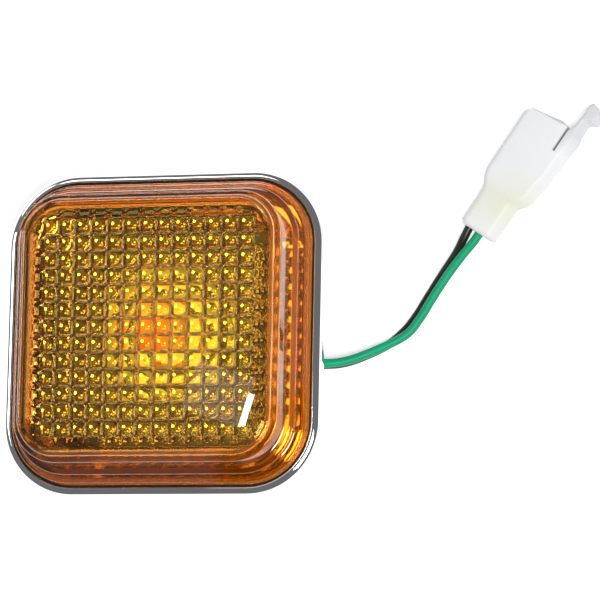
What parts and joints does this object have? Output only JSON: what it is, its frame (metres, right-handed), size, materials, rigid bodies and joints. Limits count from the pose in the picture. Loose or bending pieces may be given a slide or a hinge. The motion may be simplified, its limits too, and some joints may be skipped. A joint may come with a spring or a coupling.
{
  "type": "side repeater lamp",
  "caption": "Square amber side repeater lamp with prism lens, plated rim and body, wedge bulb in a twist holder, and a short wire lead ending in a latching plug.",
  "frame": {"origin": "centre of the panel gasket's rear face, under the middle of the lamp", "axes": "+Z out of the lens, +X to the side where the lead leaves, +Y towards the top of the lamp"},
  "size_m": [0.1373, 0.0918, 0.038],
  "materials": {
    "plated_plastic": "bright plated moulding, mirror inside and out",
    "amber_lens": "clear amber moulding, polished outside, pillow prisms inside",
    "black_rubber": "soft moulded rubber",
    "holder_plastic": "light grey moulded nylon",
    "brass": "stamped and turned brass",
    "bulb_glass": "amber tinted blown glass",
    "bulb_wire": "drawn nickel wire",
    "tungsten": "coiled filament wire",
    "green_insulation": "soft glossy wire insulation",
    "black_insulation": "soft glossy wire insulation",
    "natural_nylon": "natural translucent nylon moulding"
  },
  "bodies": {
    "root": {"housing": "plated_plastic", "lens": "amber_lens", "lens_seal": "black_rubber", "panel_gasket": "black_rubber", "screw_insert_top": "brass", "screw_insert_bottom": "brass", "bulb_holder": "holder_plastic", "holder_seal": "black_rubber", "holder_contact_left": "brass", "holder_contact_right": "brass", "bulb_glass": "bulb_glass", "bulb_filament": "tungsten", "bulb_lead_left": "bulb_wire", "bulb_lead_right": "bulb_wire", "wire_grommet": "black_rubber", "green_wire": "green_insulation", "black_wire": "black_insulation", "plug_housing": "natural_nylon", "plug_terminal_green": "brass", "plug_terminal_black": "brass"}
  },
  "joints": []
}
